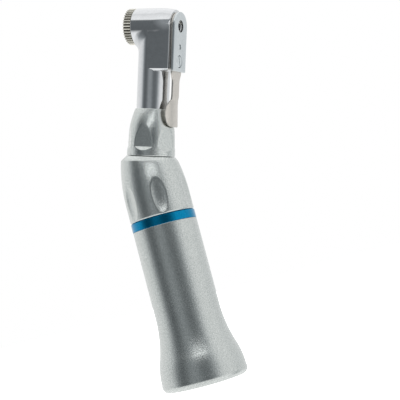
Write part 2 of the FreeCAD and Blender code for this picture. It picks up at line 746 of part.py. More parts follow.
def make_latch_plate(low, high):
    """The hooked plate between head and cover. It turns on the screw, and its hook holds the bur's groove."""
    body = new_body("latch_plate", HEAD)
    nose_r = 3.35
    waist = 3.3
    tail = D["plate_low"] + 0.1
    slab(body, "plate", [
        (-tail, -2.6),
        (0, -nose_r, nose_r, -1),
        (nose_r, 0, nose_r, -1),
        (0, nose_r),
        (-tail, waist - 0.7),
    ], low, high)
    disc_cut(body, "pivot_hole", -D["pivot_x"], 1.0, low - 1, high + 1)
    disc_cut(body, "bur_neck", 0, 0.9, low - 1, high + 1)
    pivot = -D["pivot_x"].value
    open_deg = D["latch_open"].value
    slot_half = 0.56
    slack_deg = 3.0

    def on(radius, degrees):
        a = math.radians(degrees)
        return pivot + radius * math.cos(a), radius * math.sin(a)

    def arc_slot(name, radius, half, start, end):
        slab(body, name, [
            (*on(radius + half, start), half * 1.02, 1),
            (*on(radius - half, start), radius - half, -1),
            (*on(radius - half, end), half * 1.02, 1),
            (*on(radius + half, end), radius + half, 1),
        ], low - 1, high + 1, cut=True)

    arc_slot("bur_neck_slot", D["pivot_x"].value, 0.84, 0, open_deg)
    release = body.newObject("PartDesign::SubtractiveCylinder", "bur_release_hole")
    release.Radius = 1.35
    release.Height = 3
    release.AttachmentSupport = [(plane(body, "XY_Plane"), "")]
    release.MapMode = "FlatFace"
    release.AttachmentOffset = Placement(Vector(*on(-pivot, open_deg), number(low) - 1), Rotation())
    doc.recompute()
    arc_slot("stop_slot", D["pivot_x"].value - D["dowel_x"].value, slot_half, -slack_deg, open_deg + slack_deg)


def make_latch_lever(low, high):
    """The thumb lever below the plate: a flat strip that widens into a wing curved round the union nut."""
    body = new_body("latch_lever", NECK)
    inside = -high
    outside = -low
    top = D["head_h"].value - D["plate_low"].value - 0.2
    wing_top, wing_low, wing_mid = 17.4, 10.9, 14.1
    strip = outline(body, "strip_outline", [
        (-1.75, wing_top - 1.5), (1.75, wing_top - 1.5), (1.75, top - 2.4), (2.55, top),
        (-2.55, top), (-1.75, top - 2.4),
    ], "YZ_Plane", Placement(Vector(0, 0, inside.value), Rotation()))
    pad = body.newObject("PartDesign::Pad", "strip")
    pad.Profile = strip
    pad.Length = outside.value - inside.value
    doc.recompute()
    turn(body, "wing_shell", [
        (inside - 0.2, wing_top), (outside - 0.2, wing_top), (outside + 0.02, wing_low), (inside + 0.02, wing_low),
    ])
    keep = 9.0
    reach = 3.3
    for side in (-1, 1):
        trim = outline(body, f"wing_trim_{'left' if side < 0 else 'right'}", [
            (0, wing_low - 1), (side * 1.2, wing_low - 0.01, 4.4, -side), (side * reach, wing_mid, 4.4, -side),
            (side * 1.75, wing_top + 0.01), (side * 1.75, top + 1), (side * keep, top + 1), (side * keep, wing_low - 1),
        ], "YZ_Plane")
        cut = body.newObject("PartDesign::Pocket", f"trim_{'left' if side < 0 else 'right'}")
        cut.Profile = trim
        cut.Length = 30
        cut.Midplane = True
        doc.recompute()
    back = outline(body, "wing_back_outline", [(-9, -9), (3.6, -9), (3.6, 9), (-9, 9)], "XY_Plane")
    away = body.newObject("PartDesign::Pocket", "wing_back")
    away.Profile = back
    away.Length = 80
    away.Midplane = True
    doc.recompute()


make_rear_sleeve()
make_coupling()
make_elbow()
make_rear_shaft()
make_bend_gears()
make_union_nut()
make_head_housing()
make_front_shaft()
make_head_gears()
make_spindle()
make_cap_ring()
make_latch()
doc.recompute()

failed = [o.Name for o in doc.Objects if "Invalid" in o.State or "Error" in o.State]
if failed:
    raise RuntimeError(f"these objects failed: {failed}")
for piece in made:
    if piece.Shape.isNull() or not piece.Shape.isValid():
        raise RuntimeError(f"{piece.Label} has no valid shape")
os.makedirs("parts", exist_ok=True)
for piece in made:
    piece.Shape.exportStep(f"parts/{piece.Label}.step")
    print(f"{piece.Label}: {len(piece.Shape.Solids)} solids, {piece.Shape.Volume:.1f} mm3")
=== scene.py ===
"""Looks of a latch-type dental contra-angle handpiece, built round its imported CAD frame.

Sizes are in millimetres until a mesh is made. Three frames are used. GRIP is the part's own frame. NECK has
its origin at the bend and its Z up the neck. HEAD has its origin on the head's axis, its X up the neck and
its Z out of the bur opening.
"""

import json
import logging
import math
from collections.abc import Callable
from dataclasses import dataclass
from enum import Enum

import bmesh
import bpy
import numpy as np
from mathutils import Matrix, Vector


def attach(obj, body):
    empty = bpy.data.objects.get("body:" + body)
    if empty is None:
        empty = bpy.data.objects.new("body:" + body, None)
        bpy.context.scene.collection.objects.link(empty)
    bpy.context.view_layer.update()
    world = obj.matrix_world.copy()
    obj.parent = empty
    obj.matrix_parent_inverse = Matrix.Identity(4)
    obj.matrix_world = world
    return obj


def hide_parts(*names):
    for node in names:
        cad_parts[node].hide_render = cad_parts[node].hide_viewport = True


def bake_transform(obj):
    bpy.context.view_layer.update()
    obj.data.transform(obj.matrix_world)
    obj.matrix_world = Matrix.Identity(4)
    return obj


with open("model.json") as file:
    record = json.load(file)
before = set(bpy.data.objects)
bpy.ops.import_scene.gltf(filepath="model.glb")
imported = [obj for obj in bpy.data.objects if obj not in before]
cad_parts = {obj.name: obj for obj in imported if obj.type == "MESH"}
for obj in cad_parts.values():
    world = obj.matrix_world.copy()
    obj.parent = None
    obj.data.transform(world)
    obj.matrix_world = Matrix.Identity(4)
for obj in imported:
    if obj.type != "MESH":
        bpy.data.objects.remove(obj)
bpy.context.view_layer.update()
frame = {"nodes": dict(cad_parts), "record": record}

log = logging.getLogger("handpiece")

MM = 0.001
BEND_HEIGHT = 53.2
BEND_ANGLE = math.radians(19)
HEAD_HEIGHT = 35.3

Array = np.ndarray
Field = Callable[[Array], Array]
Outline = list[tuple[float, float]]
Box = tuple[tuple[float, ...], tuple[float, ...]]
Value = bpy.types.NodeSocket | float | tuple[float, ...]


def turned_frame(origin: Vector, angle: float) -> Matrix:
    """The matrix, in mm, from a frame that is turned about the part's Y axis to the part."""
    return Matrix.Translation(origin) @ Matrix.Rotation(angle, 4, "Y")


GRIP = Matrix.Identity(4)
NECK = turned_frame(Vector((0, 0, BEND_HEIGHT)), BEND_ANGLE)
HEAD = turned_frame(NECK @ Vector((0, 0, HEAD_HEIGHT)), BEND_ANGLE - math.pi / 2)


def standing(right: Vector, up: Vector, back: Vector, place: Vector) -> Matrix:
    """A frame in metres from its three directions and its place in mm."""
    pose = Matrix((right, up, back)).transposed().to_4x4()
    pose.translation = place * MM
    return pose


# ---- camera, light and floor
@dataclass
class Studio:
    """Camera, pale floor and a plain light tent.

    The tent is white above, below, behind and at both sides. Its grey front gives polished metal its dark
    middle.
    """

    camera_turn: float = 23.776
    camera_rise: float = -4.917
    camera_roll: float = -15.032
    camera_distance: float = 251.6
    aim_height: float = 43.085
    aim_side: float = 9.946
    lens: float = 92.25
    near_clip: float = 0.005
    roof_glow: float = 1.2
    floor_half: float = 4000.0
    floor_glow: float = 0.82
    box_turn: float = 6.0
    box_distance: float = 200.0
    box_height: float = 145.0
    box_width: float = 150.0
    box_tall: float = 44.0
    box_glow: float = 1.6

    def add_camera(self) -> None:
        """Makes the camera and gives it to the scene."""
        turn = math.radians(self.camera_turn)
        rise = math.radians(self.camera_rise)
        roll = math.radians(self.camera_roll)
        back = Vector((math.sin(turn) * math.cos(rise), -math.cos(turn) * math.cos(rise), math.sin(rise)))
        level = Vector((math.cos(turn), math.sin(turn), 0))
        above = back.cross(level)
        right = math.cos(roll) * level + math.sin(roll) * above
        up = back.cross(right)
        aim = Vector((0, 0, self.aim_height)) + level * self.aim_side
        lens = bpy.data.cameras.new("camera")
        lens.lens = self.lens
        lens.clip_start = self.near_clip
        camera = linked("camera", lens)
        camera.matrix_world = standing(right, up, back, aim + back * self.camera_distance)
        bpy.context.scene.camera = camera

    def add_tent(self) -> None:
        """Lights everything with a world whose brightness depends on direction only."""
        world = bpy.data.worlds.new("light_tent")
        bpy.context.scene.world = world
        world.use_nodes = True
        tree = world.node_tree
        tree.nodes.clear()
        where = add_node(tree, "ShaderNodeTexCoord")
        turned = add_node(tree, "ShaderNodeMapping", {"vector_type": "POINT"},
                          {"Vector": where.outputs["Generated"],
                           "Rotation": (0, 0, -math.radians(self.camera_turn))})
        part = add_node(tree, "ShaderNodeSeparateXYZ", {}, {"Vector": turned.outputs["Vector"]})
        front = worked_out(tree, "MULTIPLY", part.outputs["Y"], -1.0)
        side = worked_out(tree, "ARCTAN2", part.outputs["X"], front)
        height = worked_out(tree, "ARCSINE", part.outputs["Z"])
        share = rescaled(tree, side, (-math.pi, math.pi))
        level = rescaled(tree, height, (-math.pi / 2, math.pi / 2))
        roof = (self.roof_glow, self.roof_glow, self.roof_glow, 1.0)
        roofed = mixed(tree, ramp(tree, level, TENT_ROOF), ramp(tree, share, TENT_SIDES), roof)
        card = worked_out(tree, "MULTIPLY", ramp(tree, share, CARD_SIDES), ramp(tree, level, CARD_RISE))
        tent = mixed(tree, card, roofed, CARD_GREY)
        light = add_node(tree, "ShaderNodeBackground", {}, {"Color": tent, "Strength": 1.0})
        plain = add_node(tree, "ShaderNodeBackground", {}, {"Color": (1, 1, 1, 1), "Strength": 1.0})
        ray = add_node(tree, "ShaderNodeLightPath")
        both = add_node(tree, "ShaderNodeMixShader", {},
                        {0: ray.outputs["Is Camera Ray"], 1: light.outputs[0], 2: plain.outputs[0]})
        add_node(tree, "ShaderNodeOutputWorld", {}, {"Surface": both.outputs[0]})

    def add_soft_box(self) -> None:
        """Hangs a soft box in front of the neck, above the camera's view."""
        turn = math.radians(self.camera_turn + self.box_turn)
        away = Vector((math.sin(turn), -math.cos(turn), 0))
        light = bpy.data.lights.new("soft_box", "AREA")
        light.shape = "RECTANGLE"
        light.size = self.box_width * MM
        light.size_y = self.box_tall * MM
        light.energy = self.box_glow * math.pi * light.size * light.size_y
        lamp = linked("soft_box", light)
        up = Vector((0, 0, 1))
        place = away * self.box_distance + up * self.box_height
        lamp.matrix_world = standing(up.cross(away), up, away, place)
        lamp.visible_camera = False

    def add_floor(self) -> None:
        """Lays the pale floor under the rim."""
        half = self.floor_half * MM
        mesh = bpy.data.meshes.new("floor")
        corners = [(-half, -half, 0), (half, -half, 0), (half, half, 0), (-half, half, 0)]
        mesh.from_pydata(corners, [], [(0, 1, 2, 3)])
        floor = linked("floor", mesh)
        paper = bpy.data.materials.new("white_paper")
        paper.use_nodes = True
        tree = paper.node_tree
        tree.nodes.clear()
        lit = add_node(tree, "ShaderNodeBsdfDiffuse", {}, {"Color": srgb("F4F4F2")})
        glow = add_node(tree, "ShaderNodeEmission", {}, {"Color": (1, 1, 1, 1), "Strength": self.floor_glow})
        both = add_node(tree, "ShaderNodeAddShader", {}, {0: lit.outputs[0], 1: glow.outputs[0]})
        add_node(tree, "ShaderNodeOutputMaterial", {}, {"Surface": both.outputs[0]})
        mesh.materials.append(paper)
        floor.visible_glossy = False
        floor.visible_diffuse = False

    def build(self) -> None:
        """Makes the camera, the lights and the floor."""
        self.add_camera()
        self.add_tent()
        self.add_soft_box()
        self.add_floor()
        bpy.context.scene.view_settings.view_transform = "Standard"


# Brightness of the tent by direction: degrees from the camera's side, to the right, and linear grey.
TENT_SIDES = (
    (-180, 0.95), (-144, 1.00), (-116, 0.98), (-97, 0.90), (-85, 0.74), (-72, 0.30), (-60, 0.15), (-45, 0.17),
    (-29, 0.36), (-15, 0.34), (0, 0.19), (14, 0.18), (26, 0.27), (38, 0.55), (50, 0.92), (80, 0.98),
    (116, 0.88), (150, 0.92), (180, 0.95),
)
# How far the white roof and the white table have taken over, by degrees above the horizon.
TENT_ROOF = ((-90, 0.9), (-26, 0.9), (-12, 0.0), (38, 0.0), (43, 0.95), (50, 0.95), (75, 0.8), (90, 0.75))
# A grey card low on the right: across, and by degrees above the horizon.
CARD_SIDES = ((-180, 0.0), (84, 0.0), (92, 1.0), (108, 1.0), (116, 0.0), (180, 0.0))
CARD_RISE = ((-90, 0.0), (-50, 0.0), (-34, 1.0), (-11, 1.0), (-3, 0.0), (90, 0.0))
CARD_GREY = (0.64, 0.66, 0.67, 1.0)
# How much red a ramp's black would lose and how much blue it would gain.
RED_LOSS = 0.09
BLUE_GAIN = 0.06


# ---- nodes
def add_node(tree: bpy.types.NodeTree, kind: str, settings: dict | None = None,
             inputs: dict | None = None) -> bpy.types.Node:
    """Adds a node.

    Args:
        tree: the tree it goes in.
        kind: its type's identifier.
        settings: its own attributes by name.
        inputs: sockets by name or number, each with a value or an output to link from.

    Returns:
        The node.
    """
    node = tree.nodes.new(kind)
    for name, value in (settings or {}).items():
        setattr(node, name, value)
    for key, value in (inputs or {}).items():
        if isinstance(value, bpy.types.NodeSocket):
            tree.links.new(value, node.inputs[key])
        else:
            node.inputs[key].default_value = value
    return node


def worked_out(tree: bpy.types.NodeTree, operation: str, *values: Value) -> bpy.types.NodeSocket:
    """Adds a calculation on numbers or outputs. Returns its result."""
    return add_node(tree, "ShaderNodeMath", {"operation": operation}, dict(enumerate(values))).outputs[0]


def mixed(tree: bpy.types.NodeTree, share: Value, first: Value, second: Value) -> bpy.types.NodeSocket:
    """Adds a mix of two colours, all the second where the share is 1. Returns its colour."""
    # The mix node has a socket of each name for every type: 0 is the share, 6, 7 and output 2 are colours.
    return add_node(tree, "ShaderNodeMix", {"data_type": "RGBA"}, {0: share, 6: first, 7: second}).outputs[2]


def rescaled(tree: bpy.types.NodeTree, source: bpy.types.NodeSocket, span: tuple[float, float],
             to: tuple[float, float] = (0.0, 1.0)) -> bpy.types.NodeSocket:
    """Takes one span of values to another and holds the rest at its ends. Returns the result."""
    return add_node(tree, "ShaderNodeMapRange", {},
                    {"Value": source, "From Min": span[0], "From Max": span[1],
                     "To Min": to[0], "To Max": to[1]}).outputs["Result"]


def ramp(tree: bpy.types.NodeTree, source: bpy.types.NodeSocket,
         stops: tuple[tuple[float, float], ...]) -> bpy.types.NodeSocket:
    """Adds a colour ramp over an angle, of greys that are a little cooler where darker.

    Args:
        tree: the tree it goes in.
        source: a share from 0 to 1 of the angle's whole span.
        stops: angles in degrees with their greys; the first and last are the span.

    Returns:
        The ramp's colour.
    """
    node = add_node(tree, "ShaderNodeValToRGB", {}, {"Fac": source})
    first, last = stops[0][0], stops[-1][0]
    band = node.color_ramp
    while len(band.elements) < len(stops):
        band.elements.new(1.0)
    for element, (angle, grey) in zip(band.elements, stops):
        element.position = (angle - first) / (last - first)
        cool = 1.0 - grey
        element.color = (grey * (1 - RED_LOSS * cool), grey, grey * (1 + BLUE_GAIN * cool), 1.0)
    return node.outputs["Color"]


def srgb(code: str) -> tuple[float, float, float, float]:
    """Turns a hex colour into the linear colour that Blender's sockets take."""
    parts = [int(code[i:i + 2], 16) / 255 for i in (0, 2, 4)]
    linear = [c / 12.92 if c <= 0.04045 else ((c + 0.055) / 1.055) ** 2.4 for c in parts]
    return (*linear, 1.0)


# ---- finishes
# Size of the soft clouds that vary a finish's gloss, and the values between which noise mostly lies.
CLOUD_MM = 7.0
GRAIN_SPAN = (0.35, 0.65)
CLOUD_SPAN = (0.3, 0.7)
COAT_ROUGHNESS = 0.05


class Slot(Enum):
    """The record's material slots."""

    SATIN_CHROME = "satin_chrome"
    POLISHED_CHROME = "polished_chrome"
    BLUE_ANODISED = "blue_anodised"
    NICKEL = "nickel"
    SATIN_STEEL = "satin_steel"
    SPRING_STEEL = "spring_steel"
    HARDENED_STEEL = "hardened_steel"
    BEARING_STEEL = "bearing_steel"
    MACHINED_STEEL = "machined_steel"
    BRONZE = "bronze"
    BLACK_RUBBER = "black_rubber"


@dataclass(frozen=True)
class Finish:
    """A material's colours, gloss and grain.

    grain_mm is the size of its grain, grain_depth_mm how deep it is, and mottle how far the colour strays.
    stretch lengthens the grain along the part's Z axis, as brushing does.
    """

    name: str
    base: str
    shade: str
    roughness: float
    roughness_spread: float
    grain_mm: float
    grain_depth_mm: float
    metallic: float = 1.0
    stretch: float = 1.0
    mottle: float = 0.5
    coat: float = 0.0

    def build(self) -> bpy.types.Material:
        """Makes the node material. Returns it."""
        material = bpy.data.materials.new(self.name)
        material.use_nodes = True
        tree = material.node_tree
        tree.nodes.clear()
        where = add_node(tree, "ShaderNodeTexCoord")
        drawn = add_node(tree, "ShaderNodeMapping", {},
                         {"Vector": where.outputs["Object"], "Scale": (1.0, 1.0, 1.0 / self.stretch)})
        grain = add_node(tree, "ShaderNodeTexNoise", {},
                         {"Vector": drawn.outputs[0], "Scale": 1.0 / (self.grain_mm * MM), "Detail": 3.0,
                          "Roughness": 0.6}).outputs["Fac"]
        cloud = add_node(tree, "ShaderNodeTexNoise", {},
                         {"Vector": where.outputs["Object"], "Scale": 1.0 / (CLOUD_MM * MM), "Detail": 2.0})
        tint = rescaled(tree, grain, GRAIN_SPAN, (0.5 - self.mottle, 0.5 + self.mottle))
        colour = mixed(tree, tint, srgb(self.shade), srgb(self.base))
        gloss = rescaled(tree, cloud.outputs["Fac"], CLOUD_SPAN,
                         (self.roughness - self.roughness_spread, self.roughness + self.roughness_spread))
        relief = add_node(tree, "ShaderNodeBump", {},
                          {"Height": grain, "Strength": 1.0, "Distance": self.grain_depth_mm * MM})
        shader = add_node(tree, "ShaderNodeBsdfPrincipled", {},
                          {"Base Color": colour, "Metallic": self.metallic, "Roughness": gloss,
                           "Coat Weight": self.coat, "Coat Roughness": COAT_ROUGHNESS,
                           "Normal": relief.outputs["Normal"]})
        add_node(tree, "ShaderNodeOutputMaterial", {}, {"Surface": shader.outputs[0]})
        return material


FINISHES = {
    # Glass-bead blasting before the chrome leaves a fine sparkling grain that blurs every reflection.
    Slot.SATIN_CHROME: Finish("bead_blasted_chrome", "D6DAD8", "B4B9B7", 0.22, 0.02, 0.22, 0.026),
    # Buffed chrome: a near mirror, with the faintest waviness from the wheel.
    Slot.POLISHED_CHROME: Finish("buffed_chrome", "D8DADC", "D0D2D4", 0.09, 0.02, 0.9, 0.002, mottle=0.4),
    # Dyed anodised aluminium: the dye tints the metal's own reflection.
    Slot.BLUE_ANODISED: Finish("blue_anodised_aluminium", "0688B6", "047AA6", 0.16, 0.02, 0.35, 0.003,
                               coat=0.08),
    # Turned nickel plate is a little warmer and duller than chrome.
    Slot.NICKEL: Finish("nickel_plate", "E4E2D8", "D2D0C6", 0.32, 0.04, 0.4, 0.006),
    # Fine-ground stainless plate with its scratches up and down.
    Slot.SATIN_STEEL: Finish("ground_stainless", "D2D8DA", "C6CCCE", 0.30, 0.02, 0.14, 0.003, stretch=6.0),
    # Rolled spring steel, warm grey from its heat treatment.
    Slot.SPRING_STEEL: Finish("rolled_spring_steel", "D6D2CB", "C6C2BC", 0.34, 0.04, 0.25, 0.008,
                              stretch=3.0),
    # Hardened tool steel, left dark by the quench.
    Slot.HARDENED_STEEL: Finish("hardened_tool_steel", "6C6E72", "5A5C60", 0.24, 0.05, 0.2, 0.004),
    # Lapped bearing steel.
    Slot.BEARING_STEEL: Finish("lapped_bearing_steel", "CCCED2", "BFC2C6", 0.12, 0.03, 0.3, 0.001),
    # Stainless left as the lathe made it.
    Slot.MACHINED_STEEL: Finish("turned_stainless", "C2C4C6", "ACAFB2", 0.28, 0.05, 0.25, 0.005),
    # Oil-filled sintered bronze.
    Slot.BRONZE: Finish("sintered_bronze", "B98A52", "96693A", 0.42, 0.06, 0.3, 0.010),
    # Moulded nitrile rubber.
    Slot.BLACK_RUBBER: Finish("nitrile_rubber", "1B1B1C", "121213", 0.62, 0.05, 0.3, 0.006, metallic=0.0),
}


# Painted shade: the faces in the gaps between the cap's ribs get a near-black nickel that stands in for the
# shade there.
RIB_GAP_SHADE = Finish("nickel_painted_gap_shade", "55534C", "3C3A35", 0.5, 0.05, 0.3, 0.008, metallic=0.6)

MATERIALS: dict[Slot, bpy.types.Material] = {}


# ---- mesh making
# Chords in an eased corner, and how far from it the point stands that guards the flat beside it.
CHORDS = 5
GUARD = 0.03
# How often a cast's points are drawn to the surface.
DRAWS = 4


def finished(name: str, mesh: bpy.types.Mesh, place: Matrix, slot: Slot, body: str,
             stands_for: tuple[str, ...]) -> bpy.types.Object:
    """Turns a mesh in millimetres in a local frame into a finished piece.

    Args:
        name: the piece's name.
        mesh: its mesh.
        place: the local frame, in mm.
        slot: its material slot.
        body: the body it rides on, or nothing to leave it on no body.
        stands_for: the CAD nodes it replaces.

    Returns:
        The piece.
    """
    mesh.transform(Matrix.Scale(MM, 4) @ place)
    mesh.name = name
    piece = linked(name, mesh)
    mesh.materials.clear()
    mesh.materials.append(MATERIALS[slot])
    if stands_for:
        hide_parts(*stands_for)
    if body:
        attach(piece, body)
    log.info("%s: %d faces on %s", name, len(mesh.polygons), body or "two bodies")
    return piece


def settled(blank: bpy.types.Object) -> bpy.types.Mesh:
    """Takes the mesh that an object's curve or modifiers give and deletes the object. Returns the mesh."""
    bpy.context.view_layer.update()
    mesh = bpy.data.meshes.new_from_object(blank.evaluated_get(bpy.context.evaluated_depsgraph_get()))
    bpy.data.objects.remove(blank)
    return mesh


def linked(name: str, data: bpy.types.ID) -> bpy.types.Object:
    """Makes an object of a mesh, curve, lamp or camera and puts it in the scene. Returns the object."""
    made = bpy.data.objects.new(name, data)
    bpy.context.scene.collection.objects.link(made)
    return made


def tidied(mesh: bpy.types.Mesh, sharp: float = 32.0) -> bpy.types.Mesh:
    """Merges doubles, points the faces outwards and shades all but the sharp edges smooth.

    Args:
        mesh: the mesh, in millimetres.
        sharp: the angle in degrees past which an edge stays sharp.

    Returns:
        The same mesh.
    """
    work = bmesh.new()
    work.from_mesh(mesh)
    bmesh.ops.remove_doubles(work, verts=work.verts, dist=1e-4)
    bmesh.ops.recalc_face_normals(work, faces=work.faces)
    work.to_mesh(mesh)
    work.free()
    mesh.shade_smooth()
    mesh.set_sharp_from_angle(angle=math.radians(sharp))
    return mesh


def arc(start: tuple[float, float], end: tuple[float, float], radius: float, bulge: int,
        steps: int) -> Outline:
    """Points on an arc between two points, the first included and the last left out.

    Args:
        start: its first point.
        end: its last point.
        radius: its radius.
        bulge: 1 if it bulges to the left of the way from start to end, -1 if to the right.
        steps: how many chords it gets.

    Returns:
        The points.
    """
    a, b = Vector(start), Vector(end)
    half = (b - a).length / 2
    way = (b - a).normalized()
    side = Vector((-way.y, way.x)) * bulge
    centre = (a + b) / 2 - side * math.sqrt(radius * radius - half * half)
    first = math.atan2(a.y - centre.y, a.x - centre.x)
    last = math.atan2(b.y - centre.y, b.x - centre.x)
    sweep = (last - first + math.pi) % (2 * math.pi) - math.pi
    return [(centre.x + radius * math.cos(first + sweep * i / steps),
             centre.y + radius * math.sin(first + sweep * i / steps)) for i in range(steps)]


def eased(corners: list[tuple[float, ...]]) -> Outline:
    """Rounds the corners of a closed outline that give a radius.

    Args:
        corners: (x, y) for a sharp corner or (x, y, radius) for a round one.

    Returns:
        The outline's points, with a guard point beside each rounding to keep the flats flat.
    """
    points = []
    count = len(corners)
    for i, corner in enumerate(corners):
        here = Vector(corner[:2])
        if len(corner) == 2:
            points.append(tuple(here))
            continue
        before = (Vector(corners[i - 1][:2]) - here).normalized()
        after = (Vector(corners[(i + 1) % count][:2]) - here).normalized()
        half = before.angle(after) / 2
        reach = corner[2] / math.tan(half)
        centre = here + (before + after).normalized() * corner[2] / math.sin(half)
        start, end = here + before * reach, here + after * reach
        first = math.atan2(start.y - centre.y, start.x - centre.x)
        last = math.atan2(end.y - centre.y, end.x - centre.x)
        sweep = (last - first + math.pi) % (2 * math.pi) - math.pi
        points.append(tuple(start + before * GUARD))
        for step in range(CHORDS + 1):
            angle = first + sweep * step / CHORDS
            points.append((centre.x + corner[2] * math.cos(angle), centre.y + corner[2] * math.sin(angle)))
        points.append(tuple(end + after * GUARD))
    return points


def lathe(profile: Outline, segments: int) -> bpy.types.Mesh:
    """Spins a closed profile of (radius, height) about the Z axis. Returns the mesh."""
    turns = np.linspace(0, 2 * math.pi, segments, endpoint=False)
    rings = [np.stack([r * np.cos(turns), r * np.sin(turns), np.full(segments, z)], 1) for r, z in profile]
    faces = []
    for i in range(len(rings)):
        here, there = i * segments, (i + 1) % len(rings) * segments
        for k in range(segments):
            m = (k + 1) % segments
            faces.append((here + k, here + m, there + m, there + k))
    mesh = bpy.data.meshes.new("lathe")
    mesh.from_pydata(np.concatenate(rings).tolist(), [], faces)
    return tidied(mesh)


def slope(field: Field, points: Array, reach: float = 0.01) -> Array:
    """The unit direction in which a distance field grows fastest, at each point."""
    grown = []
    for axis in range(3):
        step = np.zeros(3)
        step[axis] = reach
        grown.append(field(points + step) - field(points - step))
    away = np.stack(grown, -1)
    return away / np.maximum(np.linalg.norm(away, axis=-1, keepdims=True), 1e-9)


def cast(field: Field, low: tuple[float, ...], high: tuple[float, ...], step: float) -> bpy.types.Mesh:
    """Covers a solid given as a distance field with quads whose corners lie on its surface.

    Args:
        field: distance at each point, in mm, negative inside.
        low: lowest corner of the box that holds the solid.
        high: highest corner.
        step: size of the quads.

    Returns:
        The mesh, with normals taken from the field.
    """
    axes = [np.arange(a, b + step, step) for a, b in zip(low, high)]
    grid = np.stack(np.meshgrid(*axes, indexing="ij"), -1)
    values = field(grid)
    shape = [n - 1 for n in values.shape]

    def corner(source: Array, offset: tuple[int, int, int]) -> Array:
        """One corner of every cell."""
        i, j, k = offset
        return source[i:i + shape[0], j:j + shape[1], k:k + shape[2]]

    total = np.zeros((*shape, 3))
    count = np.zeros(shape)
    offsets = [(i, j, k) for i in (0, 1) for j in (0, 1) for k in (0, 1)]
    for one in offsets:
        for axis in range(3):
            if one[axis]:
                continue
            other = tuple(v + (1 if a == axis else 0) for a, v in enumerate(one))
            first, second = corner(values, one), corner(values, other)
            crossed = (first < 0) != (second < 0)
            share = np.where(crossed, first / np.where(crossed, first - second, 1.0), 0.0)
            place = corner(grid, one).copy()
            place[..., axis] += share * step
            total += np.where(crossed[..., None], place, 0.0)
            count += crossed
    used = count > 0
    number = np.full(shape, -1)
    number[used] = np.arange(used.sum())
    points = total[used] / count[used][:, None]
    faces = []
    for axis in range(3):
        others = [a for a in range(3) if a != axis]
        low_cut = [slice(1, -1)] * 3
        low_cut[axis] = slice(0, -1)
        high_cut = list(low_cut)
        high_cut[axis] = slice(1, None)
        first, second = values[tuple(low_cut)], values[tuple(high_cut)]
        crossed = np.argwhere((first < 0) != (second < 0))
        inside = (first < 0)[tuple(crossed.T)]
        crossed[:, others] += 1
        ring = []
        for p, q in ((-1, -1), (0, -1), (0, 0), (-1, 0)):
            cell = crossed.copy()
            cell[:, others[0]] += p
            cell[:, others[1]] += q
            ring.append(number[tuple(cell.T)])
        quads = np.stack(ring, 1)
        flip = inside if axis == 1 else ~inside
        quads[flip] = quads[flip][:, ::-1]
        faces.append(quads)
    quads = np.concatenate(faces)
    for _ in range(DRAWS):
        points = points - slope(field, points) * field(points)[:, None]
    mesh = bpy.data.meshes.new("cast")
    mesh.from_pydata(points.tolist(), [], quads.tolist())
    mesh.shade_smooth()
    mesh.normals_split_custom_set_from_vertices(slope(field, points).tolist())
    return mesh


def smooth(share: float) -> float:
    """Eases a share in and out, holding it from 0 to 1."""
    held = min(max(share, 0.0), 1.0)
    return held * held * (3 - 2 * held)


def soft_min(a: Array, b: Array, k: float | Array) -> Array:
    """The smaller of two distances, with a fillet of about k where they meet."""
    h = np.maximum(k - np.abs(a - b), 0) / k
    return np.minimum(a, b) - h * h * k / 4


def soft_max(a: Array, b: Array, k: float) -> Array:
    """The larger of two distances, with an edge of about k where they meet."""
    return -soft_min(-a, -b, k)


def crown(height: Array, start: float, end: float, start_r: float, end_r: float, arc_r: float) -> Array:
    """Radius of a turned shape that is straight and then narrows on an arc.

    Args:
        height: heights to give the radius at.
        start, end: heights where the arc starts and ends.
        start_r, end_r: radii there.
        arc_r: the arc's own radius.

    Returns:
        The radii.
    """
    points = np.array(arc((start_r, start), (end_r, end), arc_r, -1, 40) + [(end_r, end)])
    last = points[-1] + (points[-1] - points[-2]) * 20
    points = np.vstack([points, last])
    return np.interp(height, points[:, 1], points[:, 0])


def plate(outline: Outline, holes: list[Outline], low: float, high: float, edge: float) -> bpy.types.Mesh:
    """Cuts a flat plate with eased edges.

    Args:
        outline: its outer edge.
        holes: the edges of its holes.
        low: height of its lower face.
        high: height of its upper face.
        edge: radius of the easing.

    Returns:
        The mesh.
    """
    curve = bpy.data.curves.new("plate", "CURVE")
    curve.dimensions = "2D"
    curve.fill_mode = "BOTH"
    curve.extrude = (high - low) / 2 - edge
    curve.bevel_depth = edge
    curve.bevel_resolution = 2
    curve.offset = -edge
    for points in (outline, *holes):
        spline = curve.splines.new("POLY")
        spline.points.add(len(points) - 1)
        for point, (x, y) in zip(spline.points, points):
            point.co = (x, y, 0, 1)
        spline.use_cyclic_u = True
    mesh = settled(linked("plate", curve))
    mesh.transform(Matrix.Translation((0, 0, (low + high) / 2)))
    return tidied(mesh, 25.0)


def circle(x: float, y: float, radius: float, steps: int = 64) -> Outline:
    """Points round a circle."""
    return [(x + radius * math.cos(2 * math.pi * i / steps), y + radius * math.sin(2 * math.pi * i / steps))
            for i in range(steps)]


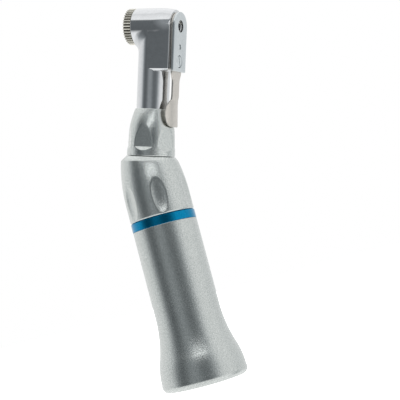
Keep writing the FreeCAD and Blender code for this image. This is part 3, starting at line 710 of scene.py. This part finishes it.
# ---- sub-assemblies
@dataclass
class Grip:
    """Flared rear sleeve, coupling tube and colour band."""

    radius: float = 8.0
    bell_r: float = 10.55
    bell_top: float = 1.9
    rim_r: float = 9.75
    rim_round: float = 1.55
    turn_height: float = 7.3
    turn_r: float = 9.74
    flare_top: float = 17.8
    full_arc: float = 18.4
    hollow_arc: float = 32.6
    band_low: float = 39.3
    band_high: float = 41.33
    band_r: float = 8.03
    spigot_r: float = 7.02
    bore_r: float = 7.05
    recess_r: float = 8.4
    recess_top: float = 3.2
    flange_r: float = 8.3
    flange_top: float = 4.2
    play: float = 0.02
    base_r: float = 6.2
    base_top: float = 11.0
    nose_r: float = 4.75
    nose_top: float = 24.0
    shaft_r: float = 4.2
    tube_top: float = 29.0
    groove_r: float = 5.32
    groove_low: float = 19.0
    groove_high: float = 19.6

    def sleeve(self) -> None:
        """Makes the sleeve."""
        top = self.band_low - 0.02
        outer = arc((self.rim_r, 0), (self.bell_r, self.bell_top), self.rim_round, -1, 10)
        outer += arc((self.bell_r, self.bell_top), (self.turn_r, self.turn_height), self.full_arc, -1, 24)
        outer += arc((self.turn_r, self.turn_height), (self.radius, self.flare_top), self.hollow_arc, 1, 36)
        outer += [(self.radius, self.flare_top), (self.radius, self.flare_top + 0.5)]
        lip = eased([(self.radius, self.flare_top + 1), (self.radius, top, 0.12), (self.bore_r, top, 0.1),
                     (self.bore_r, self.flange_top), (self.flange_r, self.flange_top),
                     (self.flange_r, self.recess_top), (self.recess_r, self.recess_top),
                     (self.recess_r, 0, 0.3), (self.rim_r - 0.4, 0)])
        mesh = lathe(outer + lip, 200)
        finished("grip_sleeve", mesh, GRIP, Slot.SATIN_CHROME, "housing", ("rear_sleeve",))

    def band(self) -> None:
        """Makes the colour band."""
        profile = eased([(self.spigot_r, self.band_low), (self.band_r, self.band_low, 0.06),
                         (self.band_r, self.band_high, 0.06), (self.spigot_r, self.band_high)])
        mesh = lathe(profile, 200)
        finished("blue_band", mesh, GRIP, Slot.BLUE_ANODISED, "housing", ("colour_band",))

    def coupling(self) -> None:
        """Makes the motor's socket."""
        flange_r, flange_top = self.flange_r - self.play, self.flange_top - self.play
        profile = eased([(self.base_r, self.recess_top, 0.25), (flange_r, self.recess_top, 0.1),
                         (flange_r, flange_top), (self.spigot_r, flange_top), (self.spigot_r, self.tube_top),
                         (self.shaft_r, self.tube_top), (self.shaft_r, self.nose_top),
                         (self.nose_r, self.nose_top), (self.nose_r, self.groove_high),
                         (self.groove_r, self.groove_high), (self.groove_r, self.groove_low),
                         (self.nose_r, self.groove_low), (self.nose_r, self.base_top, 0.15),
                         (self.base_r, self.base_top, 0.1)])
        mesh = lathe(profile, 128)
        finished("motor_socket", mesh, GRIP, Slot.MACHINED_STEEL, "housing", ("coupling_tube",))

    def build(self) -> None:
        """Makes every piece of the grip."""
        self.sleeve()
        self.band()
        self.coupling()


@dataclass
class Elbow:
    """The angled housing between grip and neck, with six finger dimples."""

    radius: float = 8.0
    low: float = 41.35
    barrel_start: float = 46.0
    barrel_top: float = 60.0
    barrel_top_r: float = 5.55
    barrel_arc: float = 40.0
    seat_height: float = 3.6
    seat_r: float = 5.95
    boss_r: float = 4.88
    boss_top: float = 8.0
    bore_r: float = 4.92
    gear_r: float = 4.1
    dimple_height: float = 46.6
    dimple_centre: float = 8.6
    dimple_half: tuple[float, float, float] = (1.1, 2.55, 5.73)
    dimple_edge: float = 0.16
    seat_edge: float = 0.22
    low_edge: float = 0.7
    spigot_r: float = 7.0
    spigot_low: float = 29.8
    boss_low: float = 50.0
    bore_top: float = 47.0
    gear_room: float = 0.6
    box: Box = ((-8.43, -8.41, 29.5), (8.8, 8.4, 62.8))
    grid: float = 0.192

    def field(self, points: Array) -> Array:
        """Distance to the elbow's surface in the grip's frame."""
        x, y, z = points[..., 0], points[..., 1], points[..., 2]
        across = np.hypot(x, y)
        lean_x = x * math.cos(BEND_ANGLE) - (z - BEND_HEIGHT) * math.sin(BEND_ANGLE)
        lean_z = x * math.sin(BEND_ANGLE) + (z - BEND_HEIGHT) * math.cos(BEND_ANGLE)
        lean_r = np.hypot(lean_x, y)
        barrel = across - crown(z, self.barrel_start, self.barrel_top, self.radius, self.barrel_top_r,
                                self.barrel_arc)
        for i in range(6):
            angle = i * math.pi / 3
            u = x * math.cos(angle) + y * math.sin(angle) - self.dimple_centre
            v = y * math.cos(angle) - x * math.sin(angle)
            w = z - self.dimple_height
            a, b, c = self.dimple_half
            near = np.sqrt((u / a) ** 2 + (v / b) ** 2 + (w / c) ** 2)
            steep = np.sqrt((u / a ** 2) ** 2 + (v / b ** 2) ** 2 + (w / c ** 2) ** 2)
            barrel = soft_max(barrel, -near * (near - 1) / np.maximum(steep, 1e-6), self.dimple_edge)
        seat = lean_z - self.seat_height
        cone = (lean_z - self.seat_height + lean_r - self.seat_r) / math.sqrt(2)
        body = soft_max(barrel, np.maximum(seat, cone), self.seat_edge)
        body = soft_max(body, self.low - z, self.low_edge)
        spigot = np.maximum(across - self.spigot_r, z - self.low - 1)
        body = np.minimum(body, spigot)
        boss = np.maximum(np.maximum(lean_r - self.boss_r, lean_z - self.boss_top), self.boss_low - z)
        body = np.minimum(body, boss)
        neck_hole = np.maximum(lean_r - self.gear_r, -self.gear_room - lean_z)
        hole_r = np.where(z < self.bore_top, self.bore_r, self.gear_r)
        grip_hole = np.maximum(across - hole_r, z - BEND_HEIGHT - self.gear_room)
        hole = np.minimum(neck_hole, grip_hole)
        return np.maximum(np.maximum(body, -hole), self.spigot_low - z)

    def build(self) -> None:
        """Makes the elbow."""
        mesh = cast(self.field, *self.box, self.grid)
        finished("elbow", mesh, GRIP, Slot.SATIN_CHROME, "housing", ("elbow_housing",))


@dataclass
class UnionNut:
    """The crowned nut that clamps the neck, with six thumb flats."""

    low: float = 3.68
    radius: float = 5.9
    turn: float = 6.0
    top: float = 15.2
    top_r: float = 4.27
    arc_r: float = 26.8
    flat: float = 5.42
    run_out: float = 4.5
    flat_turn: float = math.radians(6)
    bore_r: float = 4.95
    neck_hole_r: float = 4.04
    bore_top: float = 9.5
    flat_edge: float = 0.07
    low_edge: float = 0.25
    top_edge: float = 0.15
    clear_r: float = 9.0
    box: Box = ((-6.2, -6.2, 3.4), (6.2, 6.2, 15.5))
    grid: float = 0.12

    def field(self, points: Array) -> Array:
        """Distance to the nut's surface in the neck's frame."""
        x, y, h = points[..., 0], points[..., 1], points[..., 2]
        across = np.hypot(x, y)
        body = across - crown(h, self.turn, self.top, self.radius, self.top_r, self.arc_r)
        # How far from the axis each flat lies, by height: it runs out through the nut's skin at the bottom.
        curve = np.array([(self.radius + 0.25, self.run_out), (self.flat + 0.03, self.turn - 0.1),
                          (self.flat, self.turn + 0.02), (self.flat, 20.0)])
        depth = np.interp(h, curve[:, 1], curve[:, 0], left=self.clear_r)
        for i in range(6):
            angle = math.pi / 2 + self.flat_turn + i * math.pi / 3
            ahead = x * math.cos(angle) + y * math.sin(angle)
            body = soft_max(body, ahead - depth, self.flat_edge)
        body = soft_max(body, self.low - h, self.low_edge)
        body = soft_max(body, h - self.top, self.top_edge)
        bore = np.maximum(across - self.bore_r, h - self.bore_top)
        hole = np.minimum(bore, across - self.neck_hole_r)
        return np.maximum(body, -hole)

    def build(self) -> None:
        """Makes the nut."""
        mesh = cast(self.field, *self.box, self.grid)
        finished("union_nut_body", mesh, NECK, Slot.SATIN_CHROME, "housing", ("union_nut",))


@dataclass
class HeadHousing:
    """Neck, block and head, machined in one piece and polished.

    bores gives each of the head's bores by where it ends along the head's axis and its radius.
    """

    neck_r: float = 4.0
    tail_low: float = 2.9
    collar_r: float = 4.7
    collar_low: float = 8.05
    collar_high: float = 9.5
    block_low: float = 24.4
    block_half: float = 3.99
    chamfer: float = 0.42
    front: float = -4.8
    back: float = 5.65
    head_r: float = 4.45
    back_r: float = 3.95
    narrow_from: float = 1.0
    throat: float = 2.6
    head_arc: float = 20.0
    fillet: float = 0.3
    edge: float = 0.14
    bores: tuple[tuple[float, float], ...] = ((-3.4, 3.95), (3.4, 3.6), (5.1, 3.47))
    latch_hole_r: float = 2.1
    neck_bore_r: float = 3.47
    box: Box = ((-5.2, -5.0, 2.6), (6.0, 5.0, 40.2))
    grid: float = 0.16

    def field(self, points: Array) -> Array:
        """Distance to the housing's surface in the neck's frame."""
        x, y, h = points[..., 0], points[..., 1], points[..., 2]
        across = np.hypot(x, y)
        neck = np.maximum(across - self.neck_r, h - HEAD_HEIGHT)
        side = np.where(x < 0, across, np.abs(y)) - self.block_half
        under = self.block_low - h
        block = np.maximum(np.maximum(side, under), h - HEAD_HEIGHT)
        block = np.maximum(block, (side + under + self.chamfer) / math.sqrt(2))
        block = np.maximum(block, (x - self.back + under + self.chamfer) / math.sqrt(2))
        # The neck ends 2 mm inside the block.
        stem = np.minimum(np.maximum(neck, h - self.block_low - 2), block)
        reach = np.hypot(y, h - HEAD_HEIGHT)
        head = reach - crown(x, self.narrow_from, self.back, self.head_r, self.back_r, self.head_arc)
        # The throat's wide fillet fades out towards the latch and towards the sides.
        beneath = np.clip(-x / 3.0, 0.0, 1.0) * np.clip(1.0 - (y / 4.5) ** 4, 0.0, 1.0)
        body = soft_min(stem, head, self.fillet + (self.throat - self.fillet) * beneath)
        body = soft_max(body, x - self.back, self.edge)
        body = soft_max(body, self.front - x, self.edge)
        collar = np.maximum(across - self.collar_r, np.maximum(self.collar_low - h, h - self.collar_high))
        body = np.minimum(body, collar)
        body = np.maximum(body, self.tail_low - h)
        bore = np.select([x < end for end, _ in self.bores], [r for _, r in self.bores], self.latch_hole_r)
        neck_bore = np.maximum(across - self.neck_bore_r, h - HEAD_HEIGHT + 1)
        return np.maximum(body, -np.minimum(reach - bore, neck_bore))

    def build(self) -> None:
        """Makes the housing."""
        mesh = cast(self.field, *self.box, self.grid)
        finished("head_and_neck", mesh, NECK, Slot.POLISHED_CHROME, "housing", ("head_housing",))


@dataclass
class CapRing:
    """The ribbed ring at the bur's end of the head."""

    ribs: int = 38
    root_r: float = 4.12
    rib_half: float = 0.2
    rib_rise: float = 0.3
    rib_short: float = 0.06
    low: float = 4.83
    high: float = 6.9
    inner_r: float = 3.47
    skirt_r: float = 3.92
    skirt_low: float = 3.45
    hole_r: float = 2.35
    hole_edge_r: float = 3.0
    floor: float = 5.45
    gap_band: tuple[float, float] = (4.05, 4.15)

    def rib_tree(self) -> bpy.types.NodeTree:
        """Builds the node tree that sets ribs round a ring. Returns it."""
        tree = bpy.data.node_groups.new("ribs_round_ring", "GeometryNodeTree")
        face = tree.interface
        face.new_socket("Geometry", in_out="INPUT", socket_type="NodeSocketGeometry")
        rib_length = self.high - self.low - self.rib_short
        for name, value in (("Ring radius", self.root_r), ("Rib length", rib_length)):
            face.new_socket(name, in_out="INPUT", socket_type="NodeSocketFloat").default_value = value
        face.new_socket("Ribs", in_out="INPUT", socket_type="NodeSocketInt").default_value = self.ribs
        face.new_socket("Metal", in_out="INPUT", socket_type="NodeSocketMaterial")
        face.new_socket("Geometry", in_out="OUTPUT", socket_type="NodeSocketGeometry")
        given = add_node(tree, "NodeGroupInput")
        round_ring = add_node(tree, "GeometryNodeMeshCircle", {},
                              {"Vertices": given.outputs["Ribs"], "Radius": given.outputs["Ring radius"]})
        rib = add_node(tree, "GeometryNodeMeshCylinder", {},
                       {"Vertices": 16, "Radius": 1.0, "Depth": given.outputs["Rib length"]})
        index = add_node(tree, "GeometryNodeInputIndex")
        turn = worked_out(tree, "DIVIDE", index.outputs[0], given.outputs["Ribs"])
        angle = worked_out(tree, "MULTIPLY", turn, 2 * math.pi)
        spin = add_node(tree, "ShaderNodeCombineXYZ", {}, {"Z": angle})
        ribs = add_node(tree, "GeometryNodeInstanceOnPoints", {},
                        {"Points": round_ring.outputs["Mesh"], "Instance": rib.outputs["Mesh"],
                         "Rotation": spin.outputs[0], "Scale": (self.rib_rise, self.rib_half, 1.0)})
        both = add_node(tree, "GeometryNodeJoinGeometry")
        tree.links.new(ribs.outputs["Instances"], both.inputs[0])
        tree.links.new(given.outputs["Geometry"], both.inputs[0])
        real = add_node(tree, "GeometryNodeRealizeInstances", {}, {"Geometry": both.outputs[0]})
        dressed = add_node(tree, "GeometryNodeSetMaterial", {},
                           {"Geometry": real.outputs[0], "Material": given.outputs["Metal"]})
        add_node(tree, "NodeGroupOutput", {}, {"Geometry": dressed.outputs[0]})
        return tree

    def build(self) -> None:
        """Makes the ring."""
        top = self.high
        profile = eased([(self.inner_r, self.skirt_low), (self.skirt_r, self.skirt_low),
                         (self.skirt_r, self.low), (self.root_r, self.low), (self.root_r, top, 0.1),
                         (self.hole_edge_r, top, 0.1), (self.hole_r, top - 0.5),
                         (self.hole_r, self.floor), (self.inner_r, self.floor)])
        blank = linked("cap_blank", lathe(profile, 4 * self.ribs))
        own_points = len(blank.data.vertices)
        tree = self.rib_tree()
        modifier = blank.modifiers.new("ribs", "NODES")
        modifier.node_group = tree
        metal = next(s for s in tree.interface.items_tree if s.name == "Metal")
        modifier[metal.identifier] = MATERIALS[Slot.NICKEL]
        mesh = settled(blank)
        for vertex in mesh.vertices[own_points:]:
            vertex.co.z += (self.low + top) / 2
        tidied(mesh, 30.0)
        near, far = self.gap_band
        # The faces in the gaps between the ribs, which take the near-black painted shade.
        gaps = [face.index for face in mesh.polygons
                if self.low < face.center.z < top - self.rib_short and near < face.center.xy.length < far]
        finished("ribbed_cap", mesh, HEAD, Slot.NICKEL, "housing", ("cap_ring",))
        # A second, near-black material: painted shade on the faces between the ribs.
        mesh.materials.append(RIB_GAP_SHADE.build())
        for index in gaps:
            mesh.polygons[index].material_index = 1


@dataclass
class Latch:
    """Cover plate, pivot screw, keyhole plate and thumb lever.

    Heights in the head's frame run towards the bur's opening.
    """

    face: float = -5.65
    gap: float = 0.06
    sheet: float = 0.42
    cover_thick: float = 0.62
    cover_half: float = 3.45
    cover_low: float = -10.95
    pivot: float = -8.5
    dowel: float = -5.0
    open_angle: float = math.radians(17)
    lever_top: float = 24.27
    strip_end: float = 18.0
    wing_top: float = 17.4
    wing_low: float = 10.9
    strip_half: float = 1.75
    root_half: float = 2.55
    wing_half: float = 3.3
    wing_middle: float = 14.1
    tip_half: float = 1.2
    root_run: float = 2.4
    curl_run: float = 2.2
    nose_r: float = 3.35
    tail_half: float = 2.55
    release_r: float = 1.35
    grip_r: float = 0.84
    throat_r: float = 1.45
    slot_half: float = 0.56
    slot_over: float = 0.052
    bur_hole_r: float = 1.45
    dowel_hole_r: float = 0.62
    screw_hole_r: float = 1.5
    cap_r: float = 1.42
    cap_rise: float = 0.36
    driver_way: tuple[float, float] = (0.35, 0.937)
    driver_half: float = 0.2
    driver_low: float = 0.24
    bend_top: float = 24.25
    bend_low: float = 23.0
    screw_neck_r: float = 0.95
    shank_r: float = 0.75
    shank_end: float = 1.85

    @property
    def sheet_high(self) -> float:
        """The keyhole plate's face towards the bur."""
        return self.face - self.gap

    @property
    def sheet_low(self) -> float:
        """The keyhole plate's face towards the cover."""
        return self.sheet_high - self.sheet

    @property
    def cover_high(self) -> float:
        """The cover's inner face."""
        return self.sheet_low - self.gap

    def cover(self) -> None:
        """Makes the cover plate."""
        half = self.cover_half
        top = [(half * math.sin(a), -half * math.cos(a)) for a in np.linspace(0, math.pi, 64)]
        outline = eased([(self.cover_low, half, 0.25), (self.cover_low, -half, 0.25), *top])
        holes = [circle(0, 0, self.bur_hole_r), circle(self.dowel, 0, self.dowel_hole_r),
                 circle(self.pivot, 0, self.screw_hole_r)]
        mesh = plate(outline, holes, self.cover_high - self.cover_thick, self.cover_high, 0.12)
        finished("cover", mesh, HEAD, Slot.SATIN_STEEL, "housing", ("cover_plate",))

    def screw(self) -> None:
        """Makes the slotted pivot screw."""
        head = self.cover_high - self.cover_thick

        def field(points: Array) -> Array:
            """Distance to the screw's surface, about its own axis."""
            x, y, z = points[..., 0], points[..., 1], points[..., 2]
            across = np.hypot(x, y)
            cap = soft_max(soft_max(across - self.cap_r, head + 0.02 - z, 0.3), z - head - self.cap_rise, 0.05)
            neck = np.maximum(across - self.screw_neck_r, np.maximum(z - self.face + 0.01, head + 0.2 - z))
            end = self.face + self.shank_end
            shank = np.maximum(across - self.shank_r, np.maximum(z - end, head + 0.2 - z))
            off = np.abs(x * self.driver_way[0] + y * self.driver_way[1])
            slot = np.maximum(off - self.driver_half, z - head - self.driver_low)
            return soft_max(np.minimum(np.minimum(cap, neck), shank), -slot, 0.06)

        mesh = cast(field, (-1.6, -1.6, head - 0.2), (1.6, 1.6, self.face + 2.1), 0.06)
        place = HEAD @ Matrix.Translation((self.pivot, 0, 0))
        finished("pivot_screw_body", mesh, place, Slot.SATIN_STEEL, "housing", ("pivot_screw",))

    def on_swing(self, radius: float, angle: float) -> tuple[float, float]:
        """A point of the keyhole plate by its distance and angle from the pivot."""
        return self.pivot + radius * math.cos(angle), radius * math.sin(angle)

    def swing_slot(self, radius: float, start: float, end: float) -> Outline:
        """The edge of a round-ended slot that runs on a circle about the pivot."""
        points = []
        for half, first, last in ((-self.slot_half, start, end), (self.slot_half, end, start)):
            points += [self.on_swing(radius + half, a) for a in np.linspace(first, last, 12)]
            x, y = self.on_swing(radius, last)
            for turn in (last - math.pi * i / 12 for i in range(1, 12)):
                points.append((x + half * math.cos(turn), y + half * math.sin(turn)))
        return points

    def bur_way(self) -> Outline:
        """The edge of the release hole's inner side, opened into the narrow mouth that grips the bur."""
        steps = 60
        mouth = circle(*self.on_swing(-self.pivot, self.open_angle), self.release_r, steps)
        out = [i for i, p in enumerate(mouth) if math.hypot(*p) > self.nose_r]
        begin, finish = max(out, key=lambda i: mouth[i][0]), min(out, key=lambda i: mouth[i][0])
        way = [mouth[(begin - i) % steps] for i in range((begin - finish) % steps + 1)]
        near = [i for i, p in enumerate(way) if math.hypot(*p) < self.throat_r]
        grip = [(self.grip_r * math.cos(a), self.grip_r * math.sin(a))
                for a in np.linspace(0.15, -math.pi - 0.15, 24)]
        return way[:near[0]] + grip + way[near[-1] + 1:]

    def keyhole_plate(self) -> None:
        """Makes the plate that holds the bur's groove."""
        nose, tail = self.nose_r, self.cover_low - 0.1
        top = [(nose * math.sin(a), -nose * math.cos(a)) for a in np.linspace(0, math.pi / 2, 24)]
        way = self.bur_way()
        arm = [(nose * math.cos(a), nose * math.sin(a))
               for a in np.linspace(0.05, math.atan2(way[0][1], way[0][0]) - 0.05, 12)]
        outline = [(tail, -self.tail_half)] + top + arm + way + [(-1.9, 3.2), (tail, self.tail_half)]
        slot = self.swing_slot(self.dowel - self.pivot, -self.slot_over, self.open_angle + self.slot_over)
        mesh = plate(outline, [circle(self.pivot, 0, 1.0, 40), slot], self.sheet_low, self.sheet_high, 0.05)
        finished("keyhole_plate", mesh, HEAD, Slot.SPRING_STEEL, "latch", ("latch_plate",))

    def lever(self) -> None:
        """Makes the thumb lever, one bent strip of sheet steel."""
        rows, across = 96, 40
        heights = np.linspace(self.lever_top, self.wing_low, rows)
        # Below the strip the sheet curls round the neck, sinking a little at first and then standing away.
        flat = -(self.sheet_high + self.sheet_low) / 2
        mesh = bpy.data.meshes.new("lever")
        points = []
        for h in heights:
            half = self.half_width(h)
            drop = smooth((self.strip_end + 0.6 - h) / self.curl_run)
            radius = flat + 0.03 * (self.strip_end - h) * drop - 0.05
            for i in range(across + 1):
                y = half * (2 * i / across - 1)
                curved = math.sqrt(max(radius * radius - y * y, 0.0))
                points.append((flat + (curved - flat) * drop, y, h))
        corners = [i * (across + 1) + k for i in range(rows - 1) for k in range(across)]
        faces = [(a, a + 1, a + across + 2, a + across + 1) for a in corners]
        mesh.from_pydata(points, [], faces)
        blank = linked("lever_blank", tidied(mesh, 60.0))
        wall = blank.modifiers.new("wall", "SOLIDIFY")
        wall.thickness = self.sheet
        wall.offset = 0.0
        edge = blank.modifiers.new("edge", "BEVEL")
        edge.width = 0.07
        edge.segments = 2
        edge.angle_limit = math.radians(50)
        solid = tidied(settled(blank), 40.0)
        piece = finished("thumb_lever", solid, NECK, Slot.SPRING_STEEL, "", ("latch_lever",))
        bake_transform(piece)

    def half_width(self, h: float) -> float:
        """Half the lever's width at a height on the neck."""
        if h > self.wing_top:
            share = smooth((h - self.lever_top + self.root_run) / self.root_run)
            return self.strip_half + (self.root_half - self.strip_half) * share
        if h > self.wing_middle:
            share = (self.wing_top - h) / (self.wing_top - self.wing_middle)
            return self.strip_half + (self.wing_half - self.strip_half) * math.sin(share * math.pi / 2) ** 0.8
        share = (self.wing_middle - h) / (self.wing_middle - self.wing_low)
        return self.tip_half + (self.wing_half - self.tip_half) * math.sqrt(max(1 - share ** 2.6, 0.0))

    def build(self) -> None:
        """Makes every piece of the latch."""
        self.cover()
        self.screw()
        self.keyhole_plate()
        self.lever()


def dress_frame_nodes() -> None:
    """Gives every CAD node its material slot's finish."""
    slots = {s["node"]: Slot(s["material_slot"]) for s in frame["record"]["subparts"]}
    for name, node in frame["nodes"].items():
        node.data.materials.clear()
        node.data.materials.append(MATERIALS[slots[name]])


def main() -> None:
    """Builds the studio, the finishes and every visible piece."""
    logging.basicConfig(level=logging.INFO, format="%(name)s %(message)s")
    Studio().build()
    MATERIALS.update({slot: finish.build() for slot, finish in FINISHES.items()})
    dress_frame_nodes()
    for part in (Grip(), Elbow(), UnionNut(), HeadHousing(), CapRing(), Latch()):
        part.build()
        log.info("%s built", type(part).__name__)


if __name__ == "__main__":
    main()
